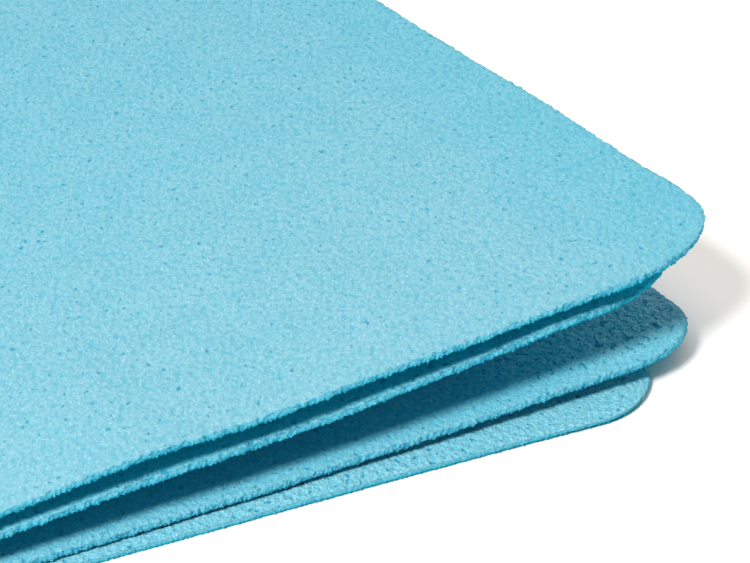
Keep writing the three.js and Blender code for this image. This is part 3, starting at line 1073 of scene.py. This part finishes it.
def porous_cloth():
    """Drawn-out grain with pale flecks, partly painted glints, dimples and pits. Painted shade deepens it
    where covered and in the crevices of its cut edge; it is painted lighter where pitted, and bare where
    cut.
    """
    material, tree, shader = new_material("porous_cloth")
    flat = node(tree, "ShaderNodeUVMap", uv_map="flat_cloth").outputs[0]
    millimetres = node(tree, "ShaderNodeMapping", {"Vector": flat, "Scale": (1 / MM,) * 3}).outputs[0]
    along_nap = {"Rotation": (0, 0, math.radians(NAP_TURN)), "Scale": (NAP_STRETCH, 1, 1)}
    nap = node(
        tree,
        "ShaderNodeMapping",
        {"Vector": millimetres, **along_nap},
        vector_type="TEXTURE",
    ).outputs[0]

    def noise(place, scale, detail):
        inputs = {"Vector": place, "Scale": scale, "Detail": detail, "Roughness": TEXTURE_ROUGHNESS}
        return node(tree, "ShaderNodeTexNoise", inputs, noise_dimensions="2D").outputs["Fac"]

    def marked(name):
        return node(tree, "ShaderNodeAttribute", attribute_name=name).outputs["Fac"]

    painted_shade, pitted, bare, crevice_shade = (marked(name) for name in ("painted_shade", "pitted", "bare", "crevice_shade"))
    grain = noise(nap, *GRAIN)
    patches = noise(millimetres, *PATCHES)
    dimples = noise(nap, *DIMPLES)
    fleck_and_glint = ranged(tree, sum_of(tree, (noise(nap, *FLECKS), 1.0), (pitted, PITTED_FLECKS)), *FLECK_LEVELS)
    hollow = ranged(tree, dimples, *HOLLOW_LEVELS, 1.0, 0.0)
    pit_depth = sum_of(tree, (noise(nap, *PITS), 1.0), (patches, PATCH_PITS), (pitted, PITTED_PITS))
    pits = ranged(tree, pit_depth, *PIT_LEVELS, 1.0, 0.0)

    tone = sum_of(tree, (grain, TONE_GRAIN), (patches, TONE_PATCHES))
    ramp = node(tree, "ShaderNodeValToRGB", {0: tone})
    dark, light = ramp.color_ramp.elements
    dark.position = TONE_DARK
    dark.color = CLOTH_DARK
    light.position = TONE_LIGHT
    light.color = CLOTH_LIGHT
    ramp.color_ramp.elements.new(TONE_MID).color = CLOTH_MID
    # Pale flecks, partly pale fibre and partly painted glints
    colour = mixed(tree, product(tree, fleck_and_glint, FLECK_AND_GLINT_STRENGTH), ramp.outputs[0], CLOTH_FLECK_AND_GLINT)
    colour = mixed(tree, product(tree, hollow, HOLLOW_STRENGTH), colour, CLOTH_HOLLOW)
    pit_strength = ranged(tree, pitted, 0.0, 1.0, *PIT_STRENGTHS)
    colour = mixed(tree, product(tree, pits, pit_strength), colour, CLOTH_PIT)
    # Painted light: pitted cloth, on the inside faces and in the shaded corner, is painted lighter
    colour = mixed(tree, pitted, colour, PITTED_LIGHT_LIFT, "MULTIPLY")
    # Painted shade: a deeper colour where the leaves shade one another
    colour = mixed(tree, painted_shade, colour, PAINTED_SHADE_SHARE, "MULTIPLY")
    colour = mixed(tree, product(tree, bare, BARE_STRENGTH), colour, CLOTH_BARE)
    # Painted shade in the crevices of the cut edge
    colour = mixed(tree, product(tree, crevice_shade, CREVICE_SHADE_STRENGTH), colour, CLOTH_CREVICE_SHADE)

    even_height = sum_of(tree, (dimples, DIMPLE_RELIEF), (grain, GRAIN_RELIEF), (pits, PIT_RELIEF))
    height = product(tree, even_height, ranged(tree, pitted, 0.0, 1.0, *STEEPNESS))
    bump = node(tree, "ShaderNodeBump", {"Strength": 1.0, "Distance": RELIEF, "Height": height})
    dullness = sum_of(
        tree,
        (tone, TONE_DULLNESS),
        (hollow, HOLLOW_DULLNESS),
        (pits, PIT_DULLNESS),
        (bare, BARE_DULLNESS),
    )
    roughness = ranged(tree, dullness, *DULLNESS_LEVELS, *ROUGHNESS)

    tree.links.new(colour, shader.inputs["Base Color"])
    tree.links.new(roughness, shader.inputs["Roughness"])
    tree.links.new(bump.outputs[0], shader.inputs["Normal"])
    shader.inputs["Specular IOR Level"].default_value = GLOSS
    return material


def table_white():
    """Matt warm white, which the camera sees a little brighter than it is lit, and less so under the cloth:
    a painted contact shadow.
    """
    material, tree, shader = new_material("table_white")
    shader.inputs["Roughness"].default_value = 1
    shader.inputs["Specular IOR Level"].default_value = 0
    shader.inputs["Emission Color"].default_value = TABLE_GLOW_COLOUR
    seen = node(tree, "ShaderNodeLightPath").outputs["Is Camera Ray"]
    # The glow is weaker where the cloth hangs over the table: a painted contact shadow
    open_air = node(tree, "ShaderNodeAmbientOcclusion", {"Distance": CONTACT_REACH}).outputs["AO"]
    shade = worked_out(tree, "POWER", open_air, CONTACT_POWER)
    place = node(tree, "ShaderNodeTexCoord").outputs["Object"]
    away = node(tree, "ShaderNodeVectorMath", {0: place}, operation="LENGTH").outputs["Value"]
    level = ranged(tree, away, *FAR_REACH, TABLE_GLOW, FAR_GLOW)
    strength = product(tree, product(tree, seen, shade), level)
    tree.links.new(mixed(tree, seen, TABLE_BOUNCE, TABLE_WHITE), shader.inputs["Base Color"])
    tree.links.new(strength, shader.inputs["Emission Strength"])
    return material


# Nubs along the cut edges


def nub_tree(material):
    """Geometry Nodes that set small rounded nubs along a line, each turned and sized at random."""
    tree = bpy.data.node_groups.new("edge_nubs", "GeometryNodeTree")
    sockets = tree.interface
    sockets.new_socket("Geometry", in_out="INPUT", socket_type="NodeSocketGeometry")
    sockets.new_socket("Geometry", in_out="OUTPUT", socket_type="NodeSocketGeometry")
    for name, kind in (("Spacing", "Float"), ("Radius", "Float"), ("Scatter", "Float"), ("Seed", "Int")):
        sockets.new_socket(name, in_out="INPUT", socket_type=f"NodeSocket{kind}")
    given = node(tree, "NodeGroupInput").outputs

    def made_by(kind, inputs, **settings):
        return node(tree, kind, inputs, **settings).outputs[0]

    def random_vector(least, most):
        inputs = {0: least, 1: most, "Seed": given["Seed"]}
        return made_by("FunctionNodeRandomValue", inputs, data_type="FLOAT_VECTOR")

    line = made_by("GeometryNodeMeshToCurve", {0: given["Geometry"]})
    spacing = {"Curve": line, "Length": given["Spacing"]}
    spaced = made_by("GeometryNodeResampleCurve", spacing, mode="LENGTH")
    way = random_vector((-1, -1, -1), (1, 1, 1))
    shift = made_by("ShaderNodeVectorMath", {0: way, "Scale": given["Scatter"]}, operation="SCALE")
    scattered = made_by("GeometryNodeSetPosition", {"Geometry": spaced, "Offset": shift})
    nub = made_by("GeometryNodeMeshIcoSphere", {"Radius": given["Radius"], "Subdivisions": 1})
    turned = random_vector((0, 0, 0), (math.tau,) * 3)
    sized = random_vector(NUB_LEAST, NUB_MOST)
    placed = made_by(
        "GeometryNodeInstanceOnPoints",
        {"Points": scattered, "Instance": nub, "Rotation": turned, "Scale": sized},
    )
    real = made_by("GeometryNodeRealizeInstances", {0: placed})
    smooth = made_by("GeometryNodeSetShadeSmooth", {0: real})
    marked = made_by(
        "GeometryNodeStoreNamedAttribute",
        {"Geometry": smooth, "Name": "bare", "Value": 1.0},
        data_type="FLOAT",
        domain="POINT",
    )
    dressed = made_by("GeometryNodeSetMaterial", {"Geometry": marked, "Material": material})
    node(tree, "NodeGroupOutput", {0: dressed})
    return tree


def edge_nubs(leaf, tree):
    line = leaf_rim(leaf).points[:, NUB_ROW] + np.array(OPEN_CORNER)
    mesh = bpy.data.meshes.new(f"{leaf.name}_edge")
    mesh.from_pydata(line.tolist(), [(i, i + 1) for i in range(len(line) - 1)], [])
    guide = added(f"{leaf.name}_edge", mesh)
    modifier = guide.modifiers.new("edge_nubs", "NODES")
    modifier.node_group = tree
    values = {"Spacing": NUB_SPACING, "Radius": NUB_RADIUS, "Scatter": NUB_SCATTER, "Seed": leaf.seed}
    for item in tree.interface.items_tree:
        if item.in_out == "INPUT" and item.name in values:
            modifier[item.identifier] = values[item.name]
    evaluated = guide.evaluated_get(bpy.context.evaluated_depsgraph_get())
    made = bpy.data.meshes.new_from_object(evaluated)
    for vertex in made.vertices:
        vertex.co.z = max(vertex.co.z, 0)
    guide.modifiers.clear()
    bpy.data.objects.remove(guide)
    return added(f"{leaf.name}_edge_nubs", made)


# The packet

cloth_finish = porous_cloth()
leaves = {leaf.name: leaf_piece(leaf) for leaf in LEAVES}
back_folds = {
    "lower_back_fold": back_fold("lower_back_crease", LOWER_INNER_LEAF, BOTTOM_LEAF, seed=51),
    "upper_back_fold": back_fold("upper_back_crease", TOP_LEAF, UPPER_INNER_LEAF, seed=52),
}
side_folds = {
    "outer_side_fold": side_fold("outer_side_crease", BOTTOM_LEAF, TOP_LEAF, OUTER_BEND, seed=53),
    "inner_side_fold": side_fold(
        "inner_side_crease", LOWER_INNER_LEAF, UPPER_INNER_LEAF, INNER_BEND, seed=54
    ),
    "centre_fold": centre_fold("centre_crease", seed=55),
}
for piece in (*leaves.values(), *back_folds.values(), *side_folds.values()):
    piece.data.materials.append(cloth_finish)

nubs_along_edge = nub_tree(cloth_finish)
nubs = {leaf.name: edge_nubs(leaf, nubs_along_edge) for leaf in LEAVES}

# Bodies

LOWER_PIECES = ("bottom_leaf", "lower_inner_leaf", "lower_back_fold")


def body_of(name):
    return "lower_leaves" if name in LOWER_PIECES else "upper_leaves"


for name, piece in {**leaves, **back_folds}.items():
    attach(piece, body_of(name))
    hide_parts(name)
for name, piece in nubs.items():
    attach(piece, body_of(name))
for name, piece in side_folds.items():
    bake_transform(piece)
    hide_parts(name)


# Table, light and camera


def toward(turn, rise):
    """Direction to a place round the object: turn from the front, rise above the table, in degrees."""
    turn, rise = math.radians(turn), math.radians(rise)
    return Vector((math.sin(turn) * math.cos(rise), -math.cos(turn) * math.cos(rise), math.sin(rise)))


def table():
    half = TABLE_SIZE / 2
    corners = [(-half, -half, 0), (half, -half, 0), (half, half, 0), (-half, half, 0)]
    mesh = bpy.data.meshes.new("table_top")
    mesh.from_pydata(corners, [], [(0, 1, 2, 3)])
    mesh.materials.append(table_white())
    added("table_top", mesh)


def key_light():
    lamp = bpy.data.lights.new("key", "AREA")
    lamp.shape = "DISK"
    lamp.size = KEY_SIZE
    lamp.energy = KEY_POWER
    key = added("key", lamp)
    direction = toward(KEY_TURN, KEY_RISE)
    key.location = OPEN_CORNER + direction * KEY_DISTANCE
    key.rotation_euler = direction.to_track_quat("Z", "Y").to_euler()


def white_room():
    """Soft light from above, and a white backdrop: faint as light, full for the camera and in gloss."""
    world = bpy.data.worlds.new("white_room")
    world.use_nodes = True
    tree = world.node_tree
    direction = node(tree, "ShaderNodeTexCoord").outputs["Generated"]
    rise = node(tree, "ShaderNodeSeparateXYZ", {0: direction}).outputs["Z"]
    strength = ranged(tree, rise, *SKY_RISES, SKY_LOW, SKY_HIGH)
    ahead = node(
        tree,
        "ShaderNodeVectorMath",
        {0: direction, 1: toward(BACKDROP_TURN, 0)},
        operation="DOT_PRODUCT",
    ).outputs["Value"]
    backdrop = ranged(tree, ahead, *BACKDROP_SHARES)
    path = node(tree, "ShaderNodeLightPath").outputs
    fill = product(tree, backdrop, BACKDROP_FILL)
    reflected = product(tree, path["Is Glossy Ray"], backdrop)
    for seen in (fill, path["Is Camera Ray"], path["Is Transmission Ray"], reflected):
        strength = worked_out(tree, "MAXIMUM", strength, seen)
    background = tree.nodes["Background"]
    tree.links.new(strength, background.inputs["Strength"])
    background.inputs["Color"].default_value = WHITE
    bpy.context.scene.world = world


def camera():
    data = bpy.data.cameras.new("photo_view")
    data.sensor_width = SENSOR_WIDTH
    data.lens = PIXELS_PER_METRE * VIEW_DISTANCE * SENSOR_WIDTH / IMAGE_WIDTH
    data.clip_start = VIEW_START
    data.clip_end = TABLE_SIZE
    back = toward(VIEW_TURN, VIEW_RISE)
    right = Vector((math.cos(math.radians(VIEW_TURN)), math.sin(math.radians(VIEW_TURN)), 0))
    up = back.cross(right)
    beside = (OPEN_CORNER_PIXEL[0] - IMAGE_WIDTH / 2) / PIXELS_PER_METRE
    below = (OPEN_CORNER_PIXEL[1] - IMAGE_HEIGHT / 2) / PIXELS_PER_METRE
    view = added("photo_view", data)
    view.location = OPEN_CORNER + back * VIEW_DISTANCE - right * beside + up * below
    view.rotation_euler = Matrix((right, up, back)).transposed().to_euler()
    bpy.context.scene.camera = view


table()
key_light()
white_room()
camera()
bpy.context.scene.view_settings.view_transform = "Standard"
